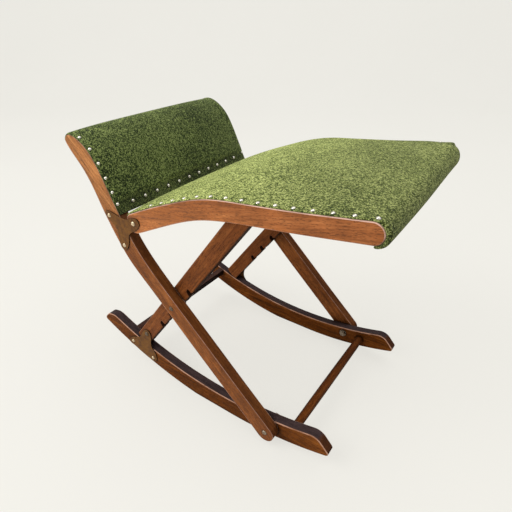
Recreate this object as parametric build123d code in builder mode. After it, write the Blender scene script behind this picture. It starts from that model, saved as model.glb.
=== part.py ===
from build123d import *
import math
import os

# Rocking frame in timber: two rockers, a leg frame pivoted on them that carries a padded
# footboard, a padded seat, and notched props that hold the legs. Sizes are in mm.
# +X runs to the wide front end of the seat, +Z is up, -Y is the right-hand side.
# Pieces come in mirrored pairs, in two layers: rockers and props inside, legs and seat outside.

os.makedirs("parts", exist_ok=True)

# ---------------------------------------------------------------- driving sizes
frame_width = 320.0      # over the outside faces of the two rockers
stock = 19.0             # planed timber
layer_gap = 0.3          # play between the rocker layer and the leg layer
side_gap = 0.1           # gap between neighbours in the Y direction
x_shift = 38.122         # moves the outlines so that X = 0 is the middle of the length
arris = 1.3              # eased edges of the boards
rail_arris = 0.8         # eased edges of the cross rails

pivot_prop = (-200.5, 97.0)      # prop on lower plate, (X, Z) before the shift
pivot_leg = (97.0, 32.2)         # leg on rocker
pivot_seat = (-164.7, 361.4)     # seat on upper plate
notch_pin_at = (-100.0, 214.3)   # notch pin in the leg
stretcher_at = (136.0, 32.7)

plate_t = 1.6
bolt_r = 4.0
pin_r = 3.0
notch_pin_r = 3.5
rivet_r = 2.2
run = 0.08               # running clearance on radius
fixed = 0.03             # clearance of fixed shanks, on radius
blind_depth = 15.0       # holes that stop inside the timber
end_gap = 1.0            # left between a shank or tenon and the bottom of its hole

y_rocker_out = frame_width / 2
y_rocker_in = y_rocker_out - stock
y_leg_in = y_rocker_out + layer_gap
y_leg_out = y_leg_in + stock


def shifted(points):
    return [(x + x_shift, z) for x, z in points]


def arc_points(centre, radius, angles):
    return [
        (
            centre[0] + radius * math.cos(math.radians(a)),
            centre[1] + radius * math.sin(math.radians(a)),
        )
        for a in angles
    ]


def spread(start, end, count):
    """Evenly spaced values, both ends included."""
    return [start + (end - start) * k / (count - 1) for k in range(count)]


def round_holes(points, radius):
    return [(x, z, radius) for x, z in points]


def save(name, shape):
    shape.label = name
    export_step(shape, "parts/" + name + ".step")


# ---------------------------------------------------------------- rocker outline (X, Z)
rocker_r = 686.0         # underside radius and its centre
rocker_cx = -11.8
rocker_cz = 685.5
top_r = 721.5            # upper edge radius and its centre
top_cx = -4.0
top_cz = 757.5
rear_drop = 2.2          # the underside behind the flat lies this far below its circle
flat_from = -78.0        # the rockers have a flat to rest on under the load
flat_to = 14.2


def underside(x):
    return rocker_cz - math.sqrt(rocker_r**2 - (x - rocker_cx) ** 2)


def upper_edge(x):
    return top_cz - math.sqrt(top_r**2 - (x - top_cx) ** 2)


def on_underside(x):
    return (x, underside(x) - rear_drop)


def on_upper_edge(x):
    return (x, upper_edge(x))


toe_low = (213.2, 34.4)
toe_top = (185.6, 65.0)
rear_top = on_upper_edge(-300.0)
rear_end = (-320.5, 95.0)
rear_low = on_underside(-335.5)
rocker_fillets = ((toe_low, 6.0), (toe_top, 22.0), (rear_top, 30.0), (rear_end, 22.0), (rear_low, 6.0))

with BuildSketch() as rocker_face:
    with BuildLine():
        ThreePointArc(*shifted([rear_low, on_underside(-190.0), (flat_from, 0.0)]))
        Line(*shifted([(flat_from, 0.0), (flat_to, 0.0)]))
        ThreePointArc(*shifted([(flat_to, 0.0), (107.5, 8.1), toe_low]))
        Line(*shifted([toe_low, toe_top]))
        ThreePointArc(*shifted([toe_top, on_upper_edge(0.0), rear_top]))
        Polyline(*shifted([rear_top, rear_end, rear_low]))
    make_face()
    for (corner_x, corner_z), radius in rocker_fillets:
        corner = (corner_x + x_shift, corner_z, 0)
        fillet(rocker_face.vertices().sort_by_distance(corner)[0], radius=radius)
rocker_outline = rocker_face.sketch.faces()[0].outer_wire()

# ---------------------------------------------------------------- leg outline
# leg and footboard rail, one board: up the back, over the top, down the front (X, Z)
leg_edge_points = [
    (85.2, 18.0), (2.0, 97.2), (-84.0, 178.8), (-150.0, 243.0), (-191.0, 283.5),
    (-220.6, 329.2), (-241.0, 369.0), (-257.2, 405.4), (-277.2, 436.9), (-304.8, 469.4),
    (-307.8, 476.6), (-304.4, 483.0), (-297.4, 486.9), (-288.0, 486.6),
    (-269.0, 479.0), (-250.6, 463.8), (-234.6, 439.6), (-213.4, 396.0), (-196.0, 361.0),
    (-172.0, 319.0), (-135.0, 274.5), (-68.5, 210.3), (-1.7, 147.0), (67.7, 81.5),
    (107.8, 44.1),
]

with BuildLine() as leg_outline:
    Spline(*shifted(leg_edge_points), tangents=((-0.713, 0.701), (0.713, -0.701)))
    ThreePointArc(*shifted([leg_edge_points[-1], (109.6, 18.6), leg_edge_points[0]]))

# ---------------------------------------------------------------- seat side rail outline
# top edge from rear to front, then lower edge from front to rear (X, Z)
seat_top = [
    (-171.8, 376.6), (-120.4, 400.2), (-84.0, 415.4), (-44.0, 431.0), (-8.0, 441.9),
    (20.7, 447.3), (54.0, 451.0), (85.8, 454.6), (129.1, 459.6), (182.3, 466.9),
    (231.0, 474.0),
]
seat_low = [
    (235.4, 445.1), (196.9, 439.4), (127.4, 429.5), (61.6, 421.4), (19.0, 415.0),
    (-27.7, 403.6), (-69.2, 386.9), (-115.4, 364.9), (-157.0, 344.8),
]

with BuildLine() as seat_rail_outline:
    seat_top_edge = Spline(*shifted(seat_top), tangents=((0.907, 0.42), (0.989, 0.15)))
    ThreePointArc(*shifted([seat_top[-1], (247.6, 461.8), seat_low[0]]))
    Spline(*shifted(seat_low), tangents=((-0.989, -0.15), (-0.907, -0.42)))
    ThreePointArc(*shifted([seat_low[-1], (-180.3, 353.4), seat_top[0]]))

# ---------------------------------------------------------------- prop outline
prop_angle = 53.0        # above the +X direction
prop_half = 31.0 / 2     # half the width of the bar
foot_r = 31.5            # rounded foot, about the pivot
foot_back = math.sqrt(foot_r**2 - prop_half**2)
notch_first = 68.5       # along the prop from its pivot
notch_pitch = 43.0
notch_count = 4
notch_at = [notch_first + k * notch_pitch for k in range(notch_count)]
notch_half = 8.6 / 2     # half the width of a notch
notch_floor = 5.6        # how far in front of the prop's centre line a notch ends
notch_lead = 1.6         # the sloping side starts this far above the floor
notch_over = 5.0         # the cutter runs this far out of the bar

prop_cos = math.cos(math.radians(prop_angle))
prop_sin = math.sin(math.radians(prop_angle))


def on_prop(length, side):
    """Point at a length up the bar from its pivot, and to the front of its centre line."""
    return (
        pivot_prop[0] + length * prop_cos + side * prop_sin,
        pivot_prop[1] + length * prop_sin - side * prop_cos,
    )


foot_rear = on_prop(-foot_back, -prop_half)
foot_front = on_prop(-foot_back, prop_half)

with BuildLine() as prop_outline:
    ThreePointArc(*shifted([foot_rear, on_prop(-foot_r, 0), foot_front]))
    Polyline(*shifted([foot_front, (82.1, 446.2), (40.5, 442.5), foot_rear]))


def notch_points(at):
    return [
        on_prop(at - 2.2 * notch_half, prop_half + notch_over),
        on_prop(at - notch_half, notch_floor + notch_lead),
        on_prop(at - 0.4 * notch_half, notch_floor),
        on_prop(at + notch_half, notch_floor),
        on_prop(at + notch_half, prop_half + notch_over),
    ]


# ---------------------------------------------------------------- builders
def layer_plane(side, y_in, y_out):
    """Plane from which an extrusion towards -Y fills a layer on the right ("r") or left."""
    return Plane.XZ.offset(y_in if side == "r" else -y_out)


def board(outline, side, y_in, y_out, holes=(), notches=(), blind=(), sockets=()):
    """Board with (x, z, radius) holes: through, blind from outside, sockets from inside."""
    base = layer_plane(side, y_in, y_out)
    cuts = (
        (holes, y_in, y_out),
        (blind, y_out - blind_depth, y_out),
        (sockets, y_in, y_in + blind_depth),
    )
    with BuildPart() as p:
        with BuildSketch(base):
            make_face(outline.edges())
        extrude(amount=y_out - y_in)
        ends = p.faces().sort_by(Axis.Y)
        # the full arris can fail on tight curves, so smaller ones are tried in turn
        for length in (arris, 0.8 * arris, 0.6 * arris, 0.4 * arris):
            try:
                chamfer(ends[0].edges() + ends[-1].edges(), length=length)
                break
            except ValueError:
                continue
        for circles, y_near, y_far in cuts:
            if not circles:
                continue
            with BuildSketch(layer_plane(side, y_near, y_far)):
                for x, z, radius in circles:
                    with Locations((x + x_shift, z)):
                        Circle(radius)
            extrude(amount=y_far - y_near, mode=Mode.SUBTRACT)
        for at in notches:
            with BuildSketch(base):
                with BuildLine():
                    Polyline(*shifted(notch_points(at)), close=True)
                make_face()
            extrude(amount=y_out - y_in, mode=Mode.SUBTRACT)
    return p.part


def cross_rail(centre, angle, length, height, y_half):
    """Bar across the frame; its section is length x height, turned by angle."""
    c = math.cos(math.radians(angle))
    d = math.sin(math.radians(angle))
    points = []
    for a, b in ((-1, -1), (1, -1), (1, 1), (-1, 1)):
        u = a * length / 2
        v = b * height / 2
        points.append((centre[0] + u * c - v * d, centre[1] + u * d + v * c))
    with BuildPart() as p:
        with BuildSketch(Plane.XZ.offset(-y_half)):
            with BuildLine():
                Polyline(*shifted(points), close=True)
            make_face()
        extrude(amount=2 * y_half)
        chamfer(p.edges().filter_by(Axis.Y), length=rail_arris)
    return p.part


def plate(points, side, y_in, holes):
    with BuildPart() as p:
        with BuildSketch(layer_plane(side, y_in, y_in + plate_t)):
            with BuildLine():
                Spline(*shifted(points), periodic=True)
            make_face()
            for x, z, radius in holes:
                with Locations((x + x_shift, z)):
                    Circle(radius, mode=Mode.SUBTRACT)
        extrude(amount=plate_t)
    return p.part


def dome(radius, height):
    """Middle point of a spherical cap's profile, from its rim to its top."""
    sphere_r = (radius * radius + height * height) / (2 * height)
    angle = math.asin(radius / sphere_r) / 2
    return (sphere_r * math.sin(angle), height - sphere_r + sphere_r * math.cos(angle))


def studs(points, head_r, head_h, shank_r, y_head, y_end):
    """Domed heads at y_head on both sides, shanks running in to y_end."""
    mid_r, mid_h = dome(head_r, head_h)
    y_top = y_head + head_h
    with BuildPart() as p:
        for x, z in points:
            centre = (x + x_shift, 0, z)
            for sign in (-1, 1):
                # local x is the radius, local y runs outwards
                with BuildSketch(Plane(origin=centre, x_dir=(1, 0, 0), z_dir=(0, 0, -sign))):
                    with BuildLine():
                        Polyline(
                            (0, y_top), (0, y_end), (shank_r, y_end),
                            (shank_r, y_head), (head_r, y_head),
                        )
                        ThreePointArc((head_r, y_head), (mid_r, y_head + mid_h), (0, y_top))
                    make_face()
                revolve(axis=Axis(centre, (0, 1, 0)))
    return p.part


def leg_pivot_rings(outer_r, y_in, y_out, sides=0):
    """Washers round the leg pivot bolts, or nuts where a number of sides is given."""
    with BuildPart() as p:
        for offset in (y_in, -y_out):
            with BuildSketch(Plane.XZ.offset(offset)):
                with Locations((pivot_leg[0] + x_shift, pivot_leg[1])):
                    if sides:
                        RegularPolygon(outer_r, sides)
                    else:
                        Circle(outer_r)
                    Circle(bolt_r + fixed, mode=Mode.SUBTRACT)
            extrude(amount=y_out - y_in)
    return p.part


# ---------------------------------------------------------------- rockers and stretcher
dowel_r = 7.9
tenon_r = dowel_r - 1.5
shoulder_r = dowel_r - 0.9
lower_rivets = [(-248.7, 55.5), (-192.5, 36.8)]

for side in "rl":
    save("rocker_" + side, board(
        rocker_outline, side, y_rocker_in, y_rocker_out,
        holes=round_holes([pivot_leg], bolt_r + fixed),
        blind=round_holes(lower_rivets, rivet_r + fixed),
        sockets=round_holes([stretcher_at], tenon_r + fixed),
    ))


def front_stretcher():
    """Turned stretcher with a shouldered tenon at each end, housed in blind sockets."""
    centre = (stretcher_at[0] + x_shift, 0, stretcher_at[1])
    tenon_end = y_rocker_in + blind_depth - end_gap
    ease_y = y_rocker_in - 1.2
    body_y = y_rocker_in - 3.5
    with BuildPart() as p:
        with BuildSketch(Plane(origin=centre, x_dir=(1, 0, 0), z_dir=(0, 0, 1))):
            with BuildLine():
                Polyline(
                    (0, -tenon_end), (tenon_r, -tenon_end),
                    (tenon_r, -y_rocker_in), (shoulder_r, -y_rocker_in),
                )
                ThreePointArc(
                    (shoulder_r, -y_rocker_in), (dowel_r - 0.1, -ease_y), (dowel_r, -body_y)
                )
                ThreePointArc((dowel_r, -body_y), (dowel_r + 0.5, 0), (dowel_r, body_y))
                ThreePointArc(
                    (dowel_r, body_y), (dowel_r - 0.1, ease_y), (shoulder_r, y_rocker_in)
                )
                Polyline(
                    (shoulder_r, y_rocker_in), (tenon_r, y_rocker_in),
                    (tenon_r, tenon_end), (0, tenon_end), (0, -tenon_end),
                )
            make_face()
        revolve(axis=Axis(centre, (0, 1, 0)))
    return p.part


save("front_stretcher", front_stretcher())
save("rear_rail", cross_rail((-251.9, 69.7), -20.6, 12.0, 19.0, y_rocker_in))

# ---------------------------------------------------------------- lower plates
# closed outline (X, Z)
lower_plate_points = [
    (-261.5, 51.2), (-256.2, 58.9), (-245.8, 66.7), (-235.3, 70.9), (-225.8, 76.2),
    (-217.7, 86.7), (-211.0, 97.5), (-204.4, 104.4), (-196.9, 106.5), (-191.7, 102.3),
    (-190.2, 92.2), (-191.9, 80.6), (-193.2, 69.3), (-189.9, 60.9), (-185.1, 53.9),
    (-182.0, 44.7), (-183.0, 34.9), (-189.5, 29.0), (-198.6, 28.3), (-216.0, 32.6),
    (-233.7, 38.4), (-248.6, 43.9), (-259.2, 47.6),
]
y_lower_plate = y_rocker_out + side_gap
y_lower_head = y_lower_plate + plate_t
y_lower_end = y_rocker_out - blind_depth + end_gap

lower_holes = round_holes(lower_rivets, rivet_r + fixed) + round_holes([pivot_prop], pin_r + fixed)
for side in "rl":
    save("lower_plate_" + side, plate(lower_plate_points, side, y_lower_plate, lower_holes))
save("lower_plate_rivets", studs(lower_rivets, 4.0, 2.2, rivet_r, y_lower_head, y_lower_end))
save("prop_pivot_pins", studs([pivot_prop], 4.8, 2.8, pin_r, y_lower_head, y_lower_end))

# ---------------------------------------------------------------- leg pivots
# bolt head outside the leg; washer, nut and bolt end inside the rocker
washer_t = 1.5
nut_t = 3.6
bolt_past_nut = 1.2
y_washer_out = y_rocker_in - side_gap
y_washer_in = y_washer_out - washer_t
y_nut_out = y_washer_in - side_gap
y_nut_in = y_nut_out - nut_t

save("leg_pivot_bolts", studs(
    [pivot_leg], 4.8, 2.6, bolt_r, y_leg_out + side_gap, y_nut_in - bolt_past_nut
))
save("leg_pivot_washers", leg_pivot_rings(7.5, y_washer_in, y_washer_out))
save("leg_pivot_nuts", leg_pivot_rings(6.4, y_nut_in, y_nut_out, sides=6))

# ---------------------------------------------------------------- legs
upper_rivets = [(-223.8, 361.4), (-196.5, 311.6)]

for side in "rl":
    save("leg_" + side, board(
        leg_outline, side, y_leg_in, y_leg_out,
        holes=round_holes([pivot_leg], bolt_r + run)
        + round_holes([notch_pin_at], notch_pin_r + fixed),
        blind=round_holes(upper_rivets, rivet_r + fixed),
    ))
save("notch_pins", studs([notch_pin_at], 4.4, 2.4, notch_pin_r, y_leg_out, y_leg_in + side_gap))

# ---------------------------------------------------------------- upper plates
# closed outline (X, Z)
upper_plate_points = [
    (-231.5, 366.8), (-222.9, 368.6), (-208.3, 366.9), (-193.3, 363.5), (-186.8, 363.1),
    (-172.5, 367.6), (-161.0, 371.3), (-152.9, 370.0), (-150.4, 363.6), (-156.2, 354.4),
    (-166.1, 346.6), (-175.6, 340.4), (-180.0, 334.9), (-182.9, 322.6), (-186.9, 311.6),
    (-192.7, 304.2), (-199.0, 302.0), (-204.7, 305.2), (-206.9, 313.2), (-207.4, 325.2),
    (-209.2, 337.4), (-213.8, 345.2), (-222.4, 351.6), (-230.3, 356.9), (-233.2, 362.4),
]
y_upper_plate = y_leg_out + side_gap
y_upper_head = y_upper_plate + plate_t
y_upper_end = y_leg_out - blind_depth + end_gap

upper_holes = round_holes(upper_rivets, rivet_r + fixed) + round_holes([pivot_seat], pin_r + fixed)
for side in "rl":
    save("upper_plate_" + side, plate(upper_plate_points, side, y_upper_plate, upper_holes))
save("upper_plate_rivets", studs(upper_rivets, 4.0, 2.2, rivet_r, y_upper_head, y_upper_end))
save("seat_pivot_pins", studs([pivot_seat], 4.4, 2.5, pin_r, y_upper_head, y_upper_end))

# ---------------------------------------------------------------- cloth, panels and nails
cloth = 0.4              # stand-off of the pads from the timber
panel_y = y_leg_in - side_gap
panel_sink = 0.6         # top of the panels below the edge of the side boards
pad_rows = (1.0, 0.93, 0.8, 0.5, 0.0)    # pad sections, as fractions of the half width
nail_r = 3.0
nail_h = 1.9
nail_rim = 0.4           # straight rim below the dome
nail_in = 5.0            # nail line, in from the outside of the rails
nail_y = y_leg_out - nail_in


def along_curve(curve, u, out):
    """Point at fraction u of a curve, moved out on the side the cloth lies."""
    p = curve @ u
    t = curve % u
    return (p.X - t.Y * out, p.Y + t.X * out)


def draw_band(inner, outer):
    """Closed band between two rows of points, drawn into the caller's open BuildLine."""
    back = outer[::-1]
    Spline(*inner)
    Line(inner[-1], back[0])
    Spline(*back)
    Line(back[-1], inner[0])


def panel(curve, fractions, thickness):
    near = [along_curve(curve, u, -panel_sink) for u in fractions]
    far = [along_curve(curve, u, -panel_sink - thickness) for u in fractions]
    with BuildPart() as p:
        with BuildSketch(Plane.XZ.offset(-panel_y)):
            with BuildLine():
                draw_band(near, far)
            make_face()
        extrude(amount=2 * panel_y)
    return p.part


def pad(curve, fractions, edge, crown):
    """Loft across the frame; edge(u) thick at the sides, crown(u) more in the middle."""
    rows = [-r for r in pad_rows] + list(reversed(pad_rows[:-1]))
    inner = [along_curve(curve, u, cloth) for u in fractions]
    with BuildPart() as p:
        for row in rows:
            swell = max(0.0, 1 - abs(row) ** 2.4) ** 1.1
            outer = [along_curve(curve, u, cloth + edge(u) + crown(u) * swell) for u in fractions]
            with BuildSketch(Plane.XZ.offset(-y_leg_out * row)):
                with BuildLine():
                    draw_band(inner, outer)
                make_face()
        loft(ruled=True)
    return p.part


def hump(u, start, end, soft):
    """Rises from 0 at start to 1, back to 0 at end."""
    if u <= start or u >= end:
        return 0.0
    return min(1.0, (u - start) / soft, (end - u) / soft) ** 0.75


def nails(places):
    """Domed heads; each place is (origin, outward direction)."""
    with BuildPart() as one:
        with BuildSketch(Plane.XZ):
            with BuildLine():
                Polyline((0, nail_h), (0, -nail_rim), (nail_r, -nail_rim), (nail_r, 0))
                ThreePointArc((nail_r, 0), dome(nail_r, nail_h), (0, nail_h))
            make_face()
        revolve(axis=Axis.Z)
    with BuildPart() as p:
        for origin, normal in places:
            with Locations(Plane(origin=origin, z_dir=normal)):
                add(one.part)
    return p.part


def nail_place(curve, u, y, thickness):
    x, z = along_curve(curve, u, cloth + thickness)
    t = curve % u
    return ((x, y, z), (-t.Y, 0, t.X))


# ---------------------------------------------------------------- footboard
def piece_of(curve, first, last, count):
    """Spline through count points of a curve, between the points nearest first and last."""
    many = [curve @ (k / 600) for k in range(601)]

    def nearest(place):
        return min(
            range(601),
            key=lambda k: math.hypot(many[k].X - x_shift - place[0], many[k].Y - place[1]),
        )

    i = nearest(first)
    j = nearest(last)
    picked = [many[round(i + (j - i) * k / (count - 1))] for k in range(count)]
    return Spline(*[(p.X, p.Y) for p in picked])


def footboard_edge(u):
    return 2.6 - 1.2 * (u < 0.01)


def footboard_crown(u):
    return 7.5 * hump(u, 0.02, 0.945, 0.3)


# front face: the part of the leg's edge from the top down to the seat
leg_edge = leg_outline.edges().sort_by(SortBy.LENGTH)[-1]
footboard_face = piece_of(leg_edge, (-306.6, 474.6), (-198.4, 366.2), 30)

save("footboard_panel", panel(footboard_face, spread(0.24, 0.995, 10), thickness=4.0))
save("footboard_bottom_rail", cross_rail((-220.4, 378.0), 116.0, 24.0, 16.0, y_leg_in))
save("footboard_top_rail", cross_rail((-287.4, 468.6), 146.0, 18.0, 16.0, y_leg_in))

fractions = spread(0.0, 0.25, 12) + spread(0.25, 1.0, 12)[1:]
save("footboard_pad", pad(footboard_face, fractions, footboard_edge, footboard_crown))

# a column of nails down each side, and a row across the bottom
places = []
for y in (-nail_y, nail_y):
    for u in (0.222, 0.366, 0.508, 0.648, 0.786, 0.900):
        places.append(nail_place(footboard_face, u, y, 2.9))
for k in range(-5, 6):
    places.append(nail_place(footboard_face, 0.922, k * 28.7, 3.3))
save("footboard_nails", nails(places))

# ---------------------------------------------------------------- props
for side in "rl":
    save("prop_" + side, board(
        prop_outline, side, y_rocker_in, y_rocker_out,
        notches=notch_at,
        blind=round_holes([pivot_prop], pin_r + run),
    ))
save("prop_cross_rail", cross_rail(on_prop(403.0, 0.0), prop_angle, 30.0, stock, y_rocker_in))

# ---------------------------------------------------------------- seat
rail_end = 247.83 + x_shift      # front end of the side rails
corner_over = 20.0               # the corner cutter runs this far past the outside


def rounded_end(solid, x_end, radius):
    """Rounds the left front corner off in plan, to a given X."""
    x_arc = x_end - radius
    y_arc = y_leg_out - radius
    x_far = x_end + corner_over
    y_far = y_leg_out + corner_over
    inset = radius * (1 - math.sqrt(0.5))
    with BuildPart() as p:
        add(solid)
        with BuildSketch(Plane.XY.offset(380.0)):
            with BuildLine():
                Line((x_arc, y_leg_out), (x_arc, y_far))
                Line((x_arc, y_far), (x_far, y_far))
                Line((x_far, y_far), (x_far, y_arc))
                Line((x_far, y_arc), (x_end, y_arc))
                ThreePointArc(
                    (x_end, y_arc), (x_end - inset, y_leg_out - inset), (x_arc, y_leg_out)
                )
            make_face()
        extrude(amount=130.0, mode=Mode.SUBTRACT)
    return p.part


def seat_rail(side):
    holes = round_holes([pivot_seat], pin_r + run)
    return board(seat_rail_outline, side, y_leg_in, y_leg_out, blind=holes)


# the left rail's front end is rounded in plan under its cloth
save("seat_rail_r", seat_rail("r"))
save("seat_rail_l", rounded_end(seat_rail("l"), rail_end - 5.0, 40.0))

# line under the cloth: round the rear end, along the top edge, round the front end
seat_rear = arc_points((-164.4, 360.7), 17.6, (146, 130))
seat_nose = arc_points((233.2, 459.6), 14.6, (60, 20, -20, -60, -81.4))
seat_middle = [(p.X, p.Y) for p in (seat_top_edge @ (k / 25) for k in range(26))]
seat_face = Spline(*(shifted(seat_rear) + seat_middle + shifted(seat_nose)))
seat_top_end = 0.885     # fraction where the top meets the round front end

save("seat_deck", panel(seat_face, spread(0.05, seat_top_end - 0.015, 14), thickness=5.2))
save("seat_rear_rail", cross_rail((-137.6, 372.6), 24.5, 20.0, 18.0, y_leg_in))
save("seat_front_rail", cross_rail((226.5, 457.0), 8.6, 18.0, 13.0, y_leg_in))


def seat_edge(u):
    """Thicker round the front end, thinner again at both ends of the cloth."""
    front = max(0.0, min(1.0, (u - 0.90) / 0.05))
    last = max(0.0, min(1.0, (u - 0.955) / 0.045))
    return 2.0 + 3.4 * front - 2.8 * last - 0.8 * (u < 0.01)


def seat_crown(u):
    return 12.0 * hump(u, -0.06, 0.97, 0.25)


fractions = spread(0.0, 0.05, 4) + spread(0.05, 0.88, 21)[1:-1] + spread(0.88, 1.0, 9)
seat_pad = pad(seat_face, fractions, seat_edge, seat_crown)
save("seat_pad", rounded_end(seat_pad, rail_end + 5.6, 36.0))

# a line of nails along each side, from the front to the rear
seat_nail_pitch = 26.2
places = []
for y in (-nail_y, nail_y):
    for k in range(15):
        if k == 0 and y > 0:
            continue             # no room on the rounded corner
        u = 0.912 - k * seat_nail_pitch / seat_face.length
        places.append(nail_place(seat_face, u, y, seat_edge(u) + 0.4))
save("seat_nails", nails(places))
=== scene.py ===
"""A wooden stool on rockers, with a moquette-covered seat and footboard.

X runs along the stool: the footboard is at the -X end and the seat rises to its front edge
at +X. Y runs across it, with the camera on the -Y side, and the floor is at Z = 0.
The timber and metal are CAD nodes that only get materials; the two pads are built here.
The pads are sized in mm and the rest in metres.
"""
import math

import bpy
import bmesh
import numpy as np
from mathutils import Matrix, Vector


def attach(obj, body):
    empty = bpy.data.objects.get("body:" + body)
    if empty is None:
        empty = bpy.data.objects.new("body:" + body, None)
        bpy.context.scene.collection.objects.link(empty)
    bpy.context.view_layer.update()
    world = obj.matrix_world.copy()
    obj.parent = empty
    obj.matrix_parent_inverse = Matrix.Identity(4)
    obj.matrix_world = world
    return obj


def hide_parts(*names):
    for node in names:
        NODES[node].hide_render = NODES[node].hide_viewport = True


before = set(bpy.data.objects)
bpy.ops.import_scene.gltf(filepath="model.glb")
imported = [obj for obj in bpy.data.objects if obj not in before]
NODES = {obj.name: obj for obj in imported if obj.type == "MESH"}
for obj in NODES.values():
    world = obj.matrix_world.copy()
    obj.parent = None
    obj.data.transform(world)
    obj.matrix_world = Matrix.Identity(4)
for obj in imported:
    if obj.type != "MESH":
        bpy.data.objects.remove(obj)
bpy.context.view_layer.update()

MM = 0.001


# ------------------------------------------------------------------ shader graph helpers
def scaled(colour, factor):
    return tuple(c * factor for c in colour)


class Graph:
    """A new material's node tree. Values given to its methods are numbers, colours or sockets."""

    def __init__(self, name):
        self.material = bpy.data.materials.new(name)
        self.material.use_nodes = True
        self.tree = self.material.node_tree
        self.tree.nodes.clear()

    def put(self, socket, value):
        if isinstance(value, bpy.types.NodeSocket):
            self.tree.links.new(value, socket)
        elif socket.type == "RGBA":
            socket.default_value = (*value, 1)
        else:
            socket.default_value = value

    def node(self, kind, **inputs):
        """Adds a node; an underscore in an argument stands for a space in the input's name."""
        node = self.tree.nodes.new("ShaderNode" + kind)
        for name, value in inputs.items():
            self.put(node.inputs[name.replace("_", " ")], value)
        return node

    def object_coords(self):
        return self.node("TexCoord").outputs["Object"]

    def noise(self, vector, scale, detail=3.0, rough=0.55, distortion=0.0):
        return self.node("TexNoise", Vector=vector, Scale=scale, Detail=detail,
                         Roughness=rough, Distortion=distortion).outputs["Fac"]

    def ramp(self, value, stops):
        """Colour ramp through (position, colour or grey level) stops."""
        node = self.node("ValToRGB", Fac=value)
        elements = node.color_ramp.elements
        while len(elements) > 1:
            elements.remove(elements[-1])
        for k, (position, colour) in enumerate(stops):
            element = elements.new(position) if k else elements[0]
            element.position = position
            element.color = (*colour, 1) if isinstance(colour, tuple) else (*[colour] * 3, 1)
        return node.outputs["Color"]

    def map_range(self, value, start, end, **limits):
        """0 at start, 1 at end, held outside them; limits may set To_Min."""
        return self.node("MapRange", Value=value, From_Min=start, From_Max=end,
                         **limits).outputs["Result"]

    def mix(self, factor, a, b, blend="MIX"):
        node = self.node("Mix")
        node.data_type = "RGBA"
        node.blend_type = blend
        node.clamp_result = False
        # sockets 6 and 7 are the colour inputs, output 2 the colour result
        for socket, value in ((node.inputs["Factor"], factor),
                              (node.inputs[6], a), (node.inputs[7], b)):
            self.put(socket, value)
        return node.outputs[2]

    def math(self, operation, *values, clamp=False):
        node = self.node("Math")
        node.operation = operation
        node.use_clamp = clamp
        for k, value in enumerate(values):
            self.put(node.inputs[k], value)
        return node.outputs[0]

    def add(self, a, b):
        return self.math("ADD", a, b)

    def sub(self, a, b):
        return self.math("SUBTRACT", a, b)

    def mul(self, a, b, clamp=False):
        return self.math("MULTIPLY", a, b, clamp=clamp)

    def true_normal(self):
        """X, Y and Z of the face normal, as outputs by name."""
        geometry = self.node("NewGeometry")
        return self.node("SeparateXYZ", Vector=geometry.outputs["True Normal"]).outputs

    def edge_mask(self, radius, low, high):
        """1 on sharp and eased edges and 0 on flat faces, with the rounded normal."""
        bevel = self.node("Bevel", Radius=radius)
        bevel.samples = 8
        rounded = bevel.outputs["Normal"]
        dot = self.node("VectorMath")
        dot.operation = "DOT_PRODUCT"
        self.put(dot.inputs[0], rounded)
        self.put(dot.inputs[1], self.node("NewGeometry").outputs["True Normal"])
        return self.map_range(dot.outputs["Value"], start=high, end=low), rounded

    def paint_occlusion_shade(self, colour, distance, power, amount, tone):
        """Painted shade: lays tone over colour in corners and notches up to distance deep, by
        ambient occlusion.
        """
        occlusion = self.node("AmbientOcclusion", Distance=distance)
        occlusion.samples = 6
        in_the_open = self.math("POWER", occlusion.outputs["AO"], power)
        return self.mix(self.mul(self.sub(1.0, in_the_open), amount), colour, tone)

    def bump(self, height, strength, distance, **normal):
        return self.node("Bump", Height=height, Strength=strength, Distance=distance,
                         **normal).outputs["Normal"]

    def finish(self, shader):
        self.node("OutputMaterial", Surface=shader.outputs[0])
        return self.material


def assign(node, material):
    materials = NODES[node].data.materials
    materials.clear()
    materials.append(material)


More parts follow.
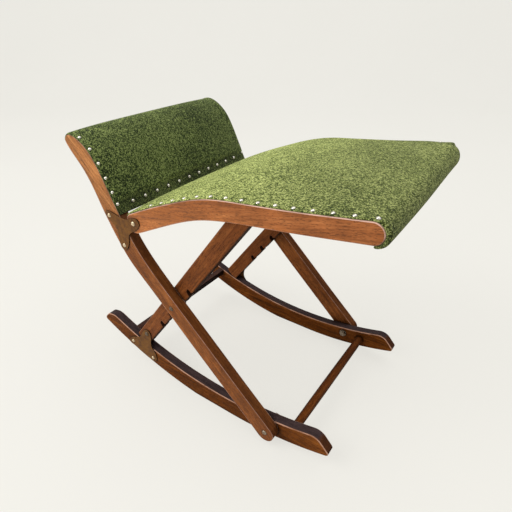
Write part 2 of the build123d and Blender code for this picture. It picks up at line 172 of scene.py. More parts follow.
# ------------------------------------------------------------------ wood
def wood(name, seed, slope=None, dark=(0.085, 0.026, 0.011), mid=(0.245, 0.080, 0.030),
         light=(0.40, 0.155, 0.062), top_shade=None, plus_x_shade=None, height_tint=None,
         grazing_dark_reflection=0.0, wear=0.55, wear_tone=(0.66, 0.40, 0.29), arris=0.55, rough=0.46,
         spec=0.20):
    """Polished wood.

    slope        angle of the fibres in the XZ plane in degrees, or None where they run along Y
    top_shade    (colour, amount) of painted shade on faces turned up
    plus_x_shade (colour, amount) of painted shade on faces turned to +X, away from the light,
    which also lose their shine height_tint  (z where it starts, z where it is full, colour
    multiplier) grazing_dark_reflection  how far a painted dark reflection creeps in where a round
    piece turns from view wear, arris  how strongly polish is worn off, partly as a painted
    highlight, and the share of it on sharp edges
    """
    g = Graph(name)
    coords = g.object_coords()
    turned = g.node("Mapping", Vector=coords, Rotation=(0, math.radians(slope or 0), 0),
                    Location=scaled((0.37, 0.11, 0.23), seed)).outputs["Vector"]

    def grain(along, across, **look):
        """Noise drawn out along the fibres."""
        scale = (across, along, across) if slope is None else (along, across, across)
        drawn = g.node("Mapping", Vector=turned, Scale=scale).outputs["Vector"]
        return g.noise(drawn, scale=1.0, **look)

    broad = grain(along=5.0, across=28.0, detail=3.0, rough=0.6, distortion=0.4)
    bands = grain(along=14.0, across=240.0, detail=4.0, rough=0.62, distortion=0.6)
    fine = grain(along=60.0, across=900.0, detail=2.0, rough=0.6)
    pores = grain(along=190.0, across=1250.0, detail=1.0, rough=0.5)
    blotch = g.noise(turned, scale=22.0, detail=3.0, rough=0.6)

    # fibre colour: weighted noises, brought back to the middle of the ramp
    tone = g.math("MULTIPLY_ADD", bands, 0.75, -0.06)
    tone = g.add(tone, g.mul(broad, 0.40))
    tone = g.add(tone, g.mul(fine, 0.22))
    tone = g.sub(tone, 0.16)
    colour = g.ramp(tone, [(0.22, dark), (0.47, mid), (0.66, light), (0.9, scaled(light, 1.18))])
    flecks = g.mul(g.ramp(pores, [(0.36, 1), (0.44, 0)]), 0.55)
    colour = g.mix(flecks, colour, scaled(dark, 0.38))
    stain = g.ramp(blotch, [(0.35, 0.55), (0.62, 1.0)])
    colour = g.mix(0.55, colour, stain, "MULTIPLY")

    # painted shade by the way a face is turned, a tint by height that paints light on the legs,
    # and a painted dark reflection on round pieces
    normal = g.true_normal()
    # painted shade on faces turned up, where the seat shades them
    if top_shade:
        tint, amount = top_shade
        upturned = g.map_range(normal["Z"], start=0.72, end=0.92)
        shaded_top = g.ramp(bands, [(0.3, scaled(tint, 0.7)), (0.7, scaled(tint, 1.35))])
        colour = g.mix(g.mul(upturned, amount), colour, shaded_top)
    # painted shade on faces turned to +X, away from the light
    if plus_x_shade:
        tint, amount = plus_x_shade
        frontal = g.map_range(normal["X"], start=0.45, end=0.8)
        colour = g.mix(g.mul(frontal, amount), colour, tint)
    # a colour multiplier by height; on the legs it paints light, lighter towards the top
    if height_tint:
        start, end, tint = height_tint
        place = g.node("SeparateXYZ", Vector=coords).outputs
        reach = g.map_range(place["Z"], start=start, end=end)
        full_amount = 1.0
        colour = g.mix(g.mul(reach, full_amount), colour, g.mix(1.0, colour, tint, "MULTIPLY"))
    # painted dark reflection where a round piece turns from view
    if grazing_dark_reflection:
        facing = g.node("LayerWeight", Blend=0.5).outputs["Facing"]
        turn = g.map_range(facing, start=0.18, end=0.62)
        colour = g.mix(g.mul(turn, grazing_dark_reflection), colour, dark)

    # painted shade in the corners and notches, also standing for grime at the joints, then polish
    # worn off the arrises with a painted highlight
    colour = g.paint_occlusion_shade(colour, distance=0.012, power=1.4, amount=0.92, tone=scaled(dark, 0.30))
    # a finer painted shadow line where parts touch
    colour = g.paint_occlusion_shade(colour, distance=0.0045, power=2.0, amount=0.85, tone=scaled(dark, 0.15))
    # lightened arrises: worn polish together with a painted highlight, stronger on faces turned
    # up
    sharp, rounded = g.edge_mask(radius=0.0030, low=0.78, high=0.97)
    side_on = g.math("ABSOLUTE", normal["Y"])
    eased = g.mul(g.map_range(side_on, start=0.20, end=0.40),
                  g.map_range(side_on, start=0.97, end=0.86))
    edges = g.math("MAXIMUM", g.mul(sharp, arris), eased)
    patchy = g.ramp(grain(along=22.0, across=75.0, detail=4.0, rough=0.7),
                    [(0.34, 0.28), (0.58, 1.0)])
    # faces turned down get less of it, as painted light from above
    upward = g.map_range(normal["Z"], start=-0.35, end=0.25, To_Min=0.35)
    rubbed_and_highlit = g.mul(g.mul(edges, patchy), wear, clamp=True)
    rubbed_and_highlit = g.mul(rubbed_and_highlit, upward, clamp=True)
    colour = g.mix(rubbed_and_highlit, colour, wear_tone)

    if plus_x_shade:
        spec = g.mul(g.sub(1.0, g.mul(frontal, 0.95)), spec)
    relief = g.add(g.mul(fine, 0.6), g.mul(pores, 0.7))
    return g.finish(g.node(
        "BsdfPrincipled", Base_Color=colour, Specular_IOR_Level=spec, Coat_Roughness=0.32,
        Roughness=g.ramp(bands, [(0.3, rough - 0.08), (0.7, rough + 0.14)]),
        Normal=g.bump(relief, strength=0.35, distance=0.0004, Normal=rounded)))


# painted shade: a dark plum on the rockers' upturned faces where the seat shades them, and a dark
# tone on their +X faces turned from the light
TOP_SHADE_PLUM = (0.040, 0.028, 0.030)
ROCKER = dict(dark=(0.034, 0.010, 0.002), mid=(0.135, 0.037, 0.0050), light=(0.235, 0.075, 0.012),
              top_shade=(TOP_SHADE_PLUM, 0.95), plus_x_shade=((0.034, 0.016, 0.012), 0.85),
              wear=0.95, wear_tone=(0.52, 0.30, 0.21), spec=0.03)
# the legs' height tint paints light, lighter towards the top
LEG = dict(dark=(0.068, 0.020, 0.005), mid=(0.226, 0.069, 0.015), light=(0.36, 0.128, 0.033),
           wear=1.0, wear_tone=(0.66, 0.42, 0.34), arris=0.85, spec=0.08,
           height_tint=(0.30, 0.44, (2.00, 2.62, 3.8)))
# painted shade on the legs' +X faces, darker on leg_l than on leg_r
LEG_R = dict(LEG, plus_x_shade=((0.062, 0.022, 0.009), 0.72))
LEG_L = dict(LEG, plus_x_shade=((0.018, 0.008, 0.006), 0.74))
# painted shade, near black, on the props' +X faces
PROP = dict(dark=(0.060, 0.018, 0.006), mid=(0.175, 0.052, 0.013), light=(0.27, 0.092, 0.026),
            plus_x_shade=((0.012, 0.006, 0.004), 0.92), wear=0.12, spec=0.05)
SEAT_RAIL = dict(dark=(0.125, 0.038, 0.010), mid=(0.315, 0.096, 0.023),
                 light=(0.47, 0.165, 0.050), wear=1.0, wear_tone=(0.74, 0.47, 0.38), arris=0.7,
                 spec=0.18, height_tint=(0.445, 0.395, (1.22, 1.26, 1.18)))
# the end of this rail is turned over, not just eased, so it takes little wear
SEAT_RAIL_L = dict(SEAT_RAIL, wear=0.22, arris=0.2)
# the stretcher gets a painted dark reflection along its sides
STRETCHER = dict(dark=(0.040, 0.012, 0.004), mid=(0.150, 0.042, 0.007),
                 light=(0.25, 0.078, 0.015), wear=0.0, spec=0.04, grazing_dark_reflection=0.9)
# painted shade on the rear rail's upturned faces and its +X faces
REAR_RAIL = dict(mid=(0.09, 0.030, 0.008), light=(0.15, 0.054, 0.016), top_shade=(TOP_SHADE_PLUM, 0.6),
                 plus_x_shade=((0.010, 0.006, 0.005), 0.95), wear=0.0, spec=0.05)
DEAL = dict(dark=(0.16, 0.085, 0.038), mid=(0.30, 0.175, 0.082), light=(0.43, 0.27, 0.14),
            wear=0.2, rough=0.6)

# node, slope of its fibres in degrees (None: along Y), look
POLISHED = [
    ("rocker_r", 0, ROCKER), ("rocker_l", 0, ROCKER),
    ("leg_r", -44.5, LEG_R), ("leg_l", -44.5, LEG_L),
    ("prop_r", 53.0, PROP), ("prop_l", 53.0, PROP),
    ("seat_rail_r", 13.0, SEAT_RAIL), ("seat_rail_l", 13.0, SEAT_RAIL_L),
    ("front_stretcher", None, STRETCHER), ("rear_rail", None, REAR_RAIL),
    ("prop_cross_rail", None, PROP),
    ("footboard_top_rail", None, {}), ("footboard_bottom_rail", None, {}),
    ("seat_rear_rail", None, {}), ("seat_front_rail", None, {}),
]
for seed, (node, slope, look) in enumerate(POLISHED, start=1):
    assign(node, wood("wood_" + node, seed, slope, **look))
for seed, node in enumerate(("seat_deck", "footboard_panel"), start=20):
    assign(node, wood("deal_" + node, seed, **DEAL))


# ------------------------------------------------------------------ metals
def metal(name, base, dark, rough, metallic, scale, wear_tone, wear, specks=0.4, spec=0.5,
          plus_x_shade_amount=0.0):
    """Mottled metal with bright edges; plus_x_shade_amount paints shade that blackens faces
    turned to +X.
    """
    g = Graph(name)
    coords = g.object_coords()
    mottle = g.noise(coords, scale=scale, detail=4.0, rough=0.62, distortion=0.3)
    grit = g.noise(coords, scale=scale * 6, detail=2.0, rough=0.6)
    colour = g.ramp(mottle, [(0.34, dark), (0.60, base)])
    pits = g.ramp(grit, [(0.34, 1), (0.46, 0)])
    colour = g.mix(g.mul(pits, specks), colour, scaled(dark, 0.35))
    edges, rounded = g.edge_mask(radius=0.0007, low=0.80, high=0.985)
    colour = g.mix(g.mul(edges, wear, clamp=True), colour, wear_tone)
    # painted shade on faces turned to +X, standing for the shadow line beside the plates
    if plus_x_shade_amount:
        frontal = g.map_range(g.true_normal()["X"], start=0.1, end=0.5)
        colour = g.mix(g.mul(frontal, plus_x_shade_amount), colour, (0.006, 0.004, 0.003))
    # painted shade where the metal meets other parts and in its recesses
    colour = g.paint_occlusion_shade(colour, distance=0.004, power=1.6, amount=0.9, tone=scaled(dark, 0.2))
    return g.finish(g.node(
        "BsdfPrincipled", Base_Color=colour, Metallic=metallic, Specular_IOR_Level=spec,
        Roughness=g.ramp(mottle, [(0.3, rough - 0.12), (0.7, rough + 0.16)]),
        Normal=g.bump(grit, strength=0.25, distance=0.0003, Normal=rounded)))


# nodes, then the metal they share
METALS = [
    (("upper_plate_r", "upper_plate_l", "lower_plate_r", "lower_plate_l"),
     dict(name="bronzed_plate", base=(0.165, 0.072, 0.019), dark=(0.085, 0.034, 0.010),
          rough=0.62, metallic=0.05, scale=95.0, wear_tone=(0.34, 0.18, 0.08), wear=0.7,
          spec=0.10, plus_x_shade_amount=0.95)),
    (("upper_plate_rivets", "lower_plate_rivets", "seat_pivot_pins"),
     dict(name="rubbed_rivet", base=(0.72, 0.60, 0.42), dark=(0.38, 0.27, 0.15),
          rough=0.28, metallic=0.95, scale=420.0, wear_tone=(0.9, 0.8, 0.6), wear=0.3,
          specks=0.2)),
    (("leg_pivot_bolts", "leg_pivot_washers", "leg_pivot_nuts"),
     dict(name="worn_pin", base=(0.40, 0.33, 0.25), dark=(0.16, 0.115, 0.08),
          rough=0.34, metallic=0.95, scale=300.0, wear_tone=(0.6, 0.52, 0.42), wear=0.4)),
    (("prop_pivot_pins", "notch_pins"),
     dict(name="dull_pin", base=(0.15, 0.115, 0.08), dark=(0.06, 0.042, 0.028),
          rough=0.36, metallic=0.85, scale=300.0, wear_tone=(0.45, 0.38, 0.28), wear=0.5)),
    (("seat_nails", "footboard_nails"),
     dict(name="nail_head", base=(0.80, 0.78, 0.70), dark=(0.50, 0.47, 0.40),
          rough=0.20, metallic=1.0, scale=500.0, wear_tone=(0.95, 0.93, 0.88), wear=0.2,
          specks=0.15)),
]
for nodes, look in METALS:
    material = metal(**look)
    for node in nodes:
        assign(node, material)


# ------------------------------------------------------------------ moquette
def moquette(name, deep, mid, light, tip):
    """Cut pile: tufts a millimetre or two across, lying in small clumps."""
    g = Graph(name)
    coords = g.object_coords()
    tufts = g.noise(coords, scale=520.0, detail=2.0, rough=0.75)
    clumps = g.noise(coords, scale=250.0, detail=3.0, rough=0.70, distortion=0.5)
    patches = g.noise(coords, scale=60.0, detail=4.0, rough=0.65)
    shade = g.noise(coords, scale=8.0, detail=2.0, rough=0.5)
    pile = g.mul(tufts, 1.30)
    for layer, weight in ((clumps, 0.80), (patches, 0.18), (shade, 0.22)):
        pile = g.add(pile, g.mul(layer, weight))
    pile = g.sub(pile, 0.75)
    contrast = 1.75
    pile = g.add(g.mul(g.sub(pile, 0.5), contrast), 0.5)
    colour = g.ramp(pile, [(0.27, deep), (0.45, mid), (0.58, light), (0.76, tip)])
    # the painted light and shade stored on each point, multiplied into the colour
    painted_shading = g.node("Attribute")
    painted_shading.attribute_name = "painted_shading"
    colour = g.mix(1.0, colour, painted_shading.outputs["Color"], "MULTIPLY")
    # painted shade in the cloth's creases and where it meets the timber
    colour = g.paint_occlusion_shade(colour, distance=0.010, power=1.2, amount=0.75, tone=scaled(deep, 0.4))
    relief = g.add(g.mul(tufts, 0.8), clumps)
    return g.finish(g.node(
        "BsdfPrincipled", Base_Color=colour, Roughness=0.95, Specular_IOR_Level=0.12,
        Sheen_Weight=0.15, Sheen_Roughness=0.45, Sheen_Tint=(0.78, 0.88, 0.50),
        Normal=g.bump(relief, strength=1.0, distance=0.0030)))


# ------------------------------------------------------------------ pad dimensions (mm)
# Lines the cloth follows, as (X, Z) at equal steps; u runs from 0 to 1 along each.
# The footboard's goes over its top edge and down its +X face.
BOARD = [
    (-269.48, 474.79), (-268.91, 479.25), (-266.38, 482.97), (-262.71, 485.61),
    (-258.43, 487.06), (-253.91, 487.2), (-249.43, 486.51), (-245.04, 485.38),
    (-240.76, 483.89), (-236.6, 482.08), (-232.58, 479.98), (-228.69, 477.65),
    (-224.95, 475.09), (-221.36, 472.32), (-217.93, 469.34), (-214.68, 466.18),
    (-211.63, 462.83), (-208.77, 459.3), (-206.09, 455.64), (-203.58, 451.87),
    (-201.2, 448.0), (-198.93, 444.08), (-196.75, 440.1), (-194.62, 436.09),
    (-192.55, 432.06), (-190.51, 428.01), (-188.51, 423.94), (-186.54, 419.85),
    (-184.59, 415.76), (-182.65, 411.65), (-180.72, 407.55), (-178.8, 403.44),
    (-176.86, 399.34), (-174.92, 395.24), (-172.95, 391.15), (-170.97, 387.07),
    (-168.97, 383.0), (-166.96, 378.94), (-164.93, 374.88), (-162.89, 370.83),
    (-160.84, 366.78),
]
# The seat's runs from the hinge end to the front edge and turns down over it.
SEAT = [
    (-140.87, 370.54), (-135.12, 375.81), (-128.09, 379.37), (-120.89, 382.6),
    (-113.71, 385.86), (-106.57, 389.2), (-99.42, 392.53), (-92.24, 395.79),
    (-85.03, 398.99), (-77.8, 402.14), (-70.54, 405.23), (-63.27, 408.27),
    (-55.98, 411.27), (-48.68, 414.26), (-41.37, 417.23), (-34.06, 420.19),
    (-26.74, 423.12), (-19.39, 425.98), (-12.02, 428.77), (-4.6, 431.45),
    (2.86, 434.01), (10.36, 436.43), (17.92, 438.69), (25.53, 440.75),
    (33.19, 442.62), (40.9, 444.27), (48.66, 445.71), (56.44, 446.96),
    (64.26, 448.02), (72.09, 448.93), (79.93, 449.76), (87.78, 450.55),
    (95.62, 451.38), (103.46, 452.24), (111.3, 453.14), (119.13, 454.05),
    (126.97, 454.95), (134.8, 455.83), (142.64, 456.72), (150.47, 457.61),
    (158.31, 458.52), (166.14, 459.47), (173.96, 460.45), (181.78, 461.48),
    (189.59, 462.54), (197.4, 463.62), (205.21, 464.72), (213.02, 465.83),
    (220.83, 466.96), (228.63, 468.1), (236.44, 469.19), (244.26, 470.23),
    (252.05, 471.44), (259.8, 472.92), (267.61, 473.94), (275.45, 473.44),
    (282.12, 469.46), (285.63, 462.5), (285.09, 454.73), (280.59, 448.36),
    (273.51, 445.16),
]
Y_OUT = 179.3               # outer face of the timber
HALF = Y_OUT - 0.3          # half width of the cloth
NAIL_IN = 5.0               # nail line in from the cloth's side edge
CLOTH = 0.4                 # least lift of the cloth off its line
INNER_SHARE = 0.9           # part of that lift at which the inner face lies
MIN_LIFT = 2.0              # least lift of the outer face
CORNER_X, CORNER_DX = 246.0, 43.0            # rounded seat corner: where it starts, its reach
CORNER_DY = 44.5
CORNER_Y = HALF - CORNER_DY
NAIL_SPAN = 0.009           # m, vertices nearer than this belong to one nail head
STUFFED_Y = 0.16            # m, nails beyond this are stuffed over, so they don't draw the cloth
NAIL_DIMPLE = 0.0075        # m, spread of the dimple round a nail

# Stations across, as fractions of HALF: close together at the sides, even in the middle.
SIDE = [1.0, 0.995, 0.988, 0.979, 0.970, 0.958, 0.943, 0.925, 0.905, 0.882]
HALF_WIDTHS = SIDE + [0.882 - 0.882 * k / 18 for k in range(1, 19)]
WIDTHS = HALF_WIDTHS + [-w for w in reversed(HALF_WIDTHS[:-1])]

# Stations along: a tight start, the body, then the far end.
SEAT_STATIONS = ([0.0, 0.008] + [0.016 + 0.86 * k / 72 for k in range(73)]
                 + [0.876 + 0.124 * k / 20 for k in range(1, 21)])
BOARD_STATIONS = ([0.0, 0.01] + [0.02 + 0.84 * k / 40 for k in range(41)]
                  + [0.86 + 0.14 * k / 14 for k in range(1, 15)])


# ------------------------------------------------------------------ pad profile helpers
def clamped(x):
    return min(max(x, 0.0), 1.0)


def ramp(x, start, end):
    """Smooth step from 0 at start to 1 at end."""
    t = clamped((x - start) / (end - start))
    return t * t * (3 - 2 * t)


def hump(x, centre, spread):
    return math.exp(-((x - centre) / spread) ** 2)


def across(y):
    """1 at the middle of the width, falling to 0 at the sides."""
    return max(0.0, 1 - (abs(y) / HALF) ** 3.6)


def inside_nails(y):
    return ramp(HALF - abs(y), NAIL_IN + 1.5, NAIL_IN + 20)


def far_fill(u, y, lip):
    """Extra stuffing that carries the +Y side over its nails."""
    return 1.5 * ramp(y, HALF - 26.0, HALF - 7.0) * lip


def curve_at(points, u):
    """Point and outward normal at fraction u of a line of equal steps."""
    p = np.array(points)
    last = len(p) - 1
    t = clamped(u) * last
    i = min(int(t), last - 1)
    f = t - i

    def tangent(k):
        d = p[min(k + 1, last)] - p[max(k - 1, 0)]
        return d / np.linalg.norm(d)

    # a cubic through the neighbours keeps the surface smooth
    a, b = p[i], p[i + 1]
    step = np.linalg.norm(b - a)
    slope_a, slope_b = tangent(i) * step, tangent(i + 1) * step
    point = ((2 * f**3 - 3 * f**2 + 1) * a + (f**3 - 2 * f**2 + f) * slope_a
             + (-2 * f**3 + 3 * f**2) * b + (f**3 - f**2) * slope_b)
    d = (1 - f) * tangent(i) + f * tangent(i + 1)
    d = d / np.linalg.norm(d)
    return point, np.array((-d[1], d[0]))


# ------------------------------------------------------------------ pad building
def nail_points(node):
    """Centres of the separate nail heads in a CAD mesh, in metres."""
    heads = []
    for vertex in np.array([v.co for v in NODES[node].data.vertices]):
        for head in heads:
            if np.linalg.norm(vertex - head[0]) < NAIL_SPAN:
                head.append(vertex)
                break
        else:
            heads.append([vertex])
    return [(np.min(head, axis=0) + np.max(head, axis=0)) / 2 for head in heads]


def pad_grid(points, stations, edge, crown, fill, plan):
    """Outer points, inner points (mm) and normals, each indexed by station, width and axis."""
    shape = (len(stations), len(WIDTHS), 3)
    outer, inner, normals = np.zeros(shape), np.zeros(shape), np.zeros(shape)
    for i, u in enumerate(stations):
        base, normal = curve_at(points, u)
        low = base + normal * CLOTH * INNER_SHARE
        for j, width in enumerate(WIDTHS):
            y = HALF * width
            lip = ramp(HALF - abs(y), 0.0, 2.2)          # cloth turns over the arris
            lift = CLOTH + edge(u) * (0.45 + 0.55 * lip) + crown(u, y) + fill(u, y, lip)
            high = base + normal * max(MIN_LIFT, lift)
            outer[i, j] = plan((high[0], y, high[1]))
            inner[i, j] = plan((low[0], y, low[1]))
            normals[i, j] = (normal[0], 0, normal[1])
    return outer, inner, normals


def pad_mesh(name, outer, inner):
    """Closed form: an outer and an inner face with the edges closed between them."""
    nu, nv = outer.shape[:2]
    bm = bmesh.new()
    vo, vi = [[[bm.verts.new(grid[i, j] * MM) for j in range(nv)] for i in range(nu)]
              for grid in (outer, inner)]
    for i in range(nu - 1):
        for j in range(nv - 1):
            bm.faces.new((vo[i][j], vo[i][j + 1], vo[i + 1][j + 1], vo[i + 1][j]))
            bm.faces.new((vi[i][j], vi[i + 1][j], vi[i + 1][j + 1], vi[i][j + 1]))
    for i in range(nu - 1):
        bm.faces.new((vo[i][0], vo[i + 1][0], vi[i + 1][0], vi[i][0]))
        bm.faces.new((vo[i][-1], vi[i][-1], vi[i + 1][-1], vo[i + 1][-1]))
    for j in range(nv - 1):
        bm.faces.new((vo[0][j], vi[0][j], vi[0][j + 1], vo[0][j + 1]))
        bm.faces.new((vo[-1][j], vo[-1][j + 1], vi[-1][j + 1], vi[-1][j]))
    bmesh.ops.recalc_face_normals(bm, faces=bm.faces)
    mesh = bpy.data.meshes.new(name)
    bm.to_mesh(mesh)
    bm.free()
    return mesh


def inflate(pad, start, normals, weights, pressure, cap):
    """Points of the pad after a short cloth run under pressure; none moves more than cap mm."""
    held = pad.vertex_groups.new(name="held")
    for k, weight in enumerate(weights):
        held.add([k], float(1.0 - weight), "REPLACE")
    cloth = pad.modifiers.new("cloth", "CLOTH")
    settings = cloth.settings
    settings.quality = 6
    settings.mass = 0.25
    settings.tension_stiffness = 14
    settings.compression_stiffness = 14
    settings.shear_stiffness = 6
    settings.bending_stiffness = 1.2
    settings.vertex_group_mass = "held"
    settings.pin_stiffness = 1.0
    settings.use_pressure = True
    settings.uniform_pressure_force = pressure
    settings.effector_weights.gravity = 0
    cloth.collision_settings.use_collision = False
    cloth.collision_settings.use_self_collision = False
    cloth.point_cache.frame_start = 1
    cloth.point_cache.frame_end = 20
    for f in range(1, 21):
        bpy.context.scene.frame_set(f)
    evaluated = pad.evaluated_get(bpy.context.evaluated_depsgraph_get())
    moved = np.array([v.co for v in evaluated.data.vertices])
    pad.modifiers.remove(cloth)
    bpy.context.scene.frame_set(1)
    delta = (moved - start) * weights[:, None]
    away = (delta * normals).sum(1)
    delta -= normals * np.minimum(away, 0)[:, None]        # never sinks into the timber
    length = np.linalg.norm(delta, axis=1)
    limit = np.where(length > cap * MM, cap * MM / np.maximum(length, 1e-9), 1.0)
    return start + delta * limit[:, None]


def build_pad(name, points, stations, edge, crown, free, painted_shading, nails, body, node, material,
              cap, pressure, sink, fill=far_fill, plan=lambda point: point):
    """A stuffed pad, ending as a smooth mesh.

    edge(u), crown(u, y) and fill(u, y, lip) add up to its thickness; plan moves its points
    free(u, y)  1 where the cloth may swell and 0 where it is nailed down
    painted_shading(u, y)   painted light and shade, as a brightness multiplier
    sink        depth in mm to which each nail draws the cloth
    """
    outer, inner, normals = pad_grid(points, stations, edge, crown, fill, plan)
    mesh = pad_mesh(name, outer, inner)
    pad = bpy.data.objects.new(name, mesh)
    bpy.context.scene.collection.objects.link(pad)

    spots = [(u, HALF * width) for u in stations for width in WIDTHS]
    count = len(spots)                                     # the outer face's vertices come first
    weights = np.concatenate([[free(u, y) for u, y in spots], np.zeros(count)])
    normals = np.concatenate([normals.reshape(-1, 3)] * 2)
    place = np.array([v.co for v in mesh.vertices])
    place = inflate(pad, place, normals, weights, pressure, cap)
    for nail in nails:
        if nail[1] > STUFFED_Y:
            continue
        distance = np.linalg.norm(place[:count] - nail, axis=1)
        pull = np.exp(-(distance / NAIL_DIMPLE) ** 2) * sink * MM
        place[:count] -= normals[:count] * pull[:, None]
    mesh.vertices.foreach_set("co", place.astype(np.float32).ravel())

    # painted light and shade for each point, read by the cloth material
    tone = mesh.color_attributes.new(name="painted_shading", type="FLOAT_COLOR", domain="POINT")
    grey = np.array([painted_shading(u, y) for u, y in spots] * 2, dtype=float)
    rgba = np.stack([grey, grey, grey, np.ones_like(grey)], 1)
    tone.data.foreach_set("color", rgba.astype(np.float32).ravel())
    mesh.update()

    sub = pad.modifiers.new("sub", "SUBSURF")
    sub.levels = sub.render_levels = 1
    evaluated = pad.evaluated_get(bpy.context.evaluated_depsgraph_get())
    smooth = bpy.data.meshes.new_from_object(evaluated)
    pad.modifiers.clear()
    pad.data = smooth
    for polygon in smooth.polygons:
        polygon.use_smooth = True
    smooth.materials.clear()
    smooth.materials.append(material)
    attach(pad, body)
    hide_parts(node)


# ------------------------------------------------------------------ seat pad
def seat_edge(u):
    """Thicker towards the front, thin again where the cloth is tucked under."""
    front = clamped((u - 0.90) / 0.05)
    tail = clamped((u - 0.955) / 0.045)
    return 2.0 + 3.0 * front - 2.4 * tail - 0.8 * (u < 0.01)


def seat_crown(u, y):
    rise = ramp(u, -0.10, 0.12) * (1 - ramp(u, 0.80, 0.95) * 0.85)
    full = 1.0 + 0.35 * hump(u, centre=0.24, spread=0.16)
    # the nose is stuffed fuller on the -Y side
    nose = ramp(u, 0.89, 0.95)
    slimmer = ramp(y, -60.0, 110.0) * (1 - 0.5 * ramp(y, 120.0, 170.0))
    taper = -1.6 * nose * (y / HALF) - 2.0 * nose * slimmer
    return 6.6 * rise * full * across(y) ** 0.9 + taper


def seat_fill(u, y, lip):
    """The far fill stops short of the front, where the +Y corner is filled instead."""
    corner = hump(u, centre=0.934, spread=0.032) * hump(y, centre=169.0, spread=18.0)
    return far_fill(u, y, lip) * (1 - ramp(u, 0.80, 0.88)) + 3.3 * corner


def seat_plan(point):
    """Draws the square corner at +X, +Y in to a quarter round."""
    a = (point[0] - CORNER_X) / CORNER_DX
    b = (point[1] - CORNER_Y) / CORNER_DY
    if a <= 0 or b <= 0:
        return point
    k = max(a, b) / math.hypot(a, b)
    return (CORNER_X + a * k * CORNER_DX, CORNER_Y + b * k * CORNER_DY, point[2])


def seat_free(u, y):
    return inside_nails(y) * ramp(u, 0.015, 0.10) * (1 - ramp(u, 0.88, 0.95))


def seat_painted_shading(u, y):
    """Painted shade: lighter at the hinge end, darker towards the front and darker still on the
    front roll.
    """
    return 1.13 - 0.48 * ramp(u, 0.22, 0.86) - 0.27 * ramp(u, 0.89, 0.97)


# ------------------------------------------------------------------ footboard pad
def board_edge(u):
    return 2.6 - 1.0 * (u < 0.005) - 0.5 * ramp(u, 0.90, 0.92)


def board_crown(u, y):
    """Full at the top, with a ridge across just above the flat lower band."""
    rise = ramp(u, 0.0, 0.20) * (1 - ramp(u, 0.835, 0.895))
    ridge = hump(u, centre=0.84, spread=0.022) * 1.6
    top = 1.8 * hump(u, centre=0.15, spread=0.14)
    return ((5.0 + top) * across(y) ** 0.8) * rise + ridge * ramp(HALF - abs(y), 8.0, 24.0)


def board_free(u, y):
    return inside_nails(y) * ramp(u, 0.03, 0.2) * (1 - ramp(u, 0.82, 0.865))


def board_painted_shading(u, y):
    """Painted light at the top, a painted highlight along the ridge and painted shade on the
    lower band.
    """
    band = ramp(u, 0.865, 0.892)
    top = 0.62 * hump(u, centre=0.0, spread=0.16)
    ridge = 0.35 * hump(u, centre=0.855, spread=0.014) * ramp(abs(y), 175.0, 60.0)
    return (0.70 + top) * (1.0 - 0.38 * band) + ridge


seat_cloth = moquette("moquette_seat", deep=(0.028, 0.043, 0.007), mid=(0.141, 0.183, 0.037),
                      light=(0.312, 0.364, 0.096), tip=(0.640, 0.700, 0.255))
# the footboard's cloth is the seat's moquette painted much darker, as painted shade for the way
# it is turned
shaded_board_cloth = moquette("moquette_board", deep=(0.004, 0.010, 0.002), mid=(0.034, 0.056, 0.012),
                       light=(0.104, 0.145, 0.037), tip=(0.320, 0.390, 0.120))
build_pad("seat_cushion", SEAT, SEAT_STATIONS, seat_edge, seat_crown, seat_free, seat_painted_shading,
          nails=nail_points("seat_nails"), body="seat", node="seat_pad", material=seat_cloth,
          cap=8.0, pressure=3.5, sink=0.6, fill=seat_fill, plan=seat_plan)
build_pad("footboard_cushion", BOARD, BOARD_STATIONS, board_edge, board_crown, board_free,
          board_painted_shading, nails=nail_points("footboard_nails"), body="leg_frame",
          node="footboard_pad", material=shaded_board_cloth, cap=5.0, pressure=3.0, sink=0.4)


# ------------------------------------------------------------------ shading of the CAD nodes
ROUND_NODES = ("seat_nails", "footboard_nails", "upper_plate_rivets", "lower_plate_rivets",
               "seat_pivot_pins", "prop_pivot_pins", "leg_pivot_bolts", "notch_pins",
               "front_stretcher")


def set_smooth(cad, smooth):
    polygons = cad.data.polygons
    polygons.foreach_set("use_smooth", [smooth] * len(polygons))


for cad in NODES.values():
    if not cad.hide_render:
        set_smooth(cad, False)
for node in ROUND_NODES:
    set_smooth(NODES[node], True)


# ------------------------------------------------------------------ floor
BACK = Vector((-0.568, 0.823, 0))             # level, away from the camera
ASIDE = Vector((-0.823, -0.568, 0))
FLOOR_HALF = 8
FLOOR_NEAR, FLOOR_FLAT_END = -6.0, 2.5        # distances along BACK
SWEEP_RADIUS = 2.0
SWEEP_TOP = 7.0


def floor_sweep():
    """Flat under the stool, curving up to a wall far behind it."""
    profile = [(FLOOR_NEAR, 0.0), (FLOOR_FLAT_END, 0.0)]
    for degrees in range(6, 91, 6):
        a = math.radians(degrees)
        profile.append((FLOOR_FLAT_END + SWEEP_RADIUS * math.sin(a),
                        SWEEP_RADIUS - SWEEP_RADIUS * math.cos(a)))
    profile.append((FLOOR_FLAT_END + SWEEP_RADIUS, SWEEP_TOP))
    mesh = bpy.data.meshes.new("floor")
    bm = bmesh.new()
    rows = []
    for distance, z in profile:
        a = BACK * distance + ASIDE * FLOOR_HALF
        b = BACK * distance - ASIDE * FLOOR_HALF
        rows.append((bm.verts.new((a.x, a.y, z)), bm.verts.new((b.x, b.y, z))))
    for (a, b), (c, d) in zip(rows, rows[1:]):
        bm.faces.new((a, b, d, c))
    bm.to_mesh(mesh)
    bm.free()
    for polygon in mesh.polygons:
        polygon.use_smooth = True
    floor = bpy.data.objects.new("floor", mesh)
    bpy.context.scene.collection.objects.link(floor)
    return floor


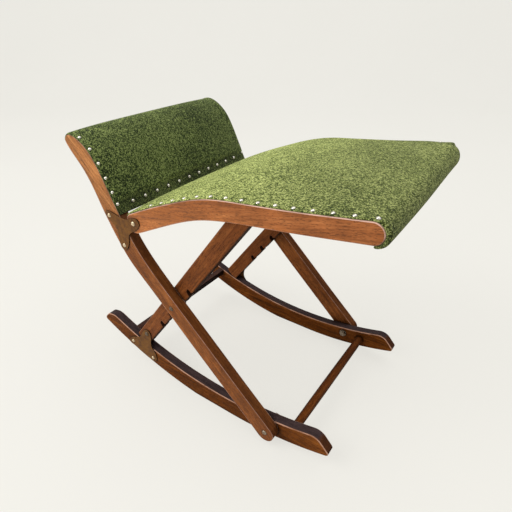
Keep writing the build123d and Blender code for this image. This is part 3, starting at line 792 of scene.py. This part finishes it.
def pale_floor():
    """Matt, but mostly an even glow where the camera sees it directly."""
    g = Graph("pale_floor")
    cloudy = g.noise(g.object_coords(), scale=1.4, detail=2.0, rough=0.5)
    colour = g.ramp(cloudy, [(0.3, (0.845, 0.835, 0.79)), (0.7, (0.875, 0.865, 0.825))])
    matt = g.node("BsdfPrincipled", Base_Color=colour, Roughness=0.95, Specular_IOR_Level=0.1)
    glow = g.node("Emission", Color=(0.846, 0.832, 0.780), Strength=1.0)
    seen = g.node("LightPath").outputs["Is Camera Ray"]
    both = g.node("MixShader", Fac=g.mul(seen, 0.80))
    g.put(both.inputs[1], matt.outputs["BSDF"])
    g.put(both.inputs[2], glow.outputs["Emission"])
    return g.finish(both)


floor = floor_sweep()
floor.data.materials.append(pale_floor())


# ------------------------------------------------------------------ light
world = bpy.data.worlds.new("studio")
bpy.context.scene.world = world
world.use_nodes = True
background = world.node_tree.nodes["Background"]
background.inputs["Color"].default_value = (0.98, 0.975, 0.95, 1)
background.inputs["Strength"].default_value = 0.72


def area(name, at, to, size, power, colour):
    """Square area light of the given side, aimed at a point."""
    light = bpy.data.lights.new(name, "AREA")
    light.shape = "RECTANGLE"
    light.size = light.size_y = size
    light.energy = power
    light.color = colour
    lamp = bpy.data.objects.new(name, light)
    bpy.context.scene.collection.objects.link(lamp)
    aim = Vector(to) - Vector(at)
    lamp.rotation_euler = aim.to_track_quat("-Z", "Y").to_euler()
    lamp.location = at


area("key", at=(-1.5, -1.9, 2.3), to=(0.0, 0, 0.25), size=2.2, power=62,
     colour=(1.0, 0.985, 0.95))
area("top", at=(0.3, 0.4, 3.0), to=(0.0, 0, 0.2), size=2.8, power=34, colour=(1.0, 1.0, 0.98))


# ------------------------------------------------------------------ camera
CAMERA_AT = Vector((0.4061, -0.5968, 0.6789))
CAMERA_RIGHT = (0.8229, 0.5682, 0.0)
CAMERA_UP = (-0.2877, 0.4166, 0.8623)
CAMERA_BACKWARDS = (0.4900, -0.7096, 0.5063)

lens = bpy.data.cameras.new("camera")
lens.sensor_fit = "HORIZONTAL"
lens.sensor_width = 36.0
lens.lens = 30.6984375
lens.clip_start = 0.01
camera = bpy.data.objects.new("camera", lens)
bpy.context.scene.collection.objects.link(camera)
pose = Matrix((CAMERA_RIGHT, CAMERA_UP, CAMERA_BACKWARDS)).transposed().to_4x4()
pose.translation = CAMERA_AT
camera.matrix_world = pose
bpy.context.scene.camera = camera
bpy.context.scene.view_settings.view_transform = "Standard"
bpy.context.scene.view_settings.look = "None"
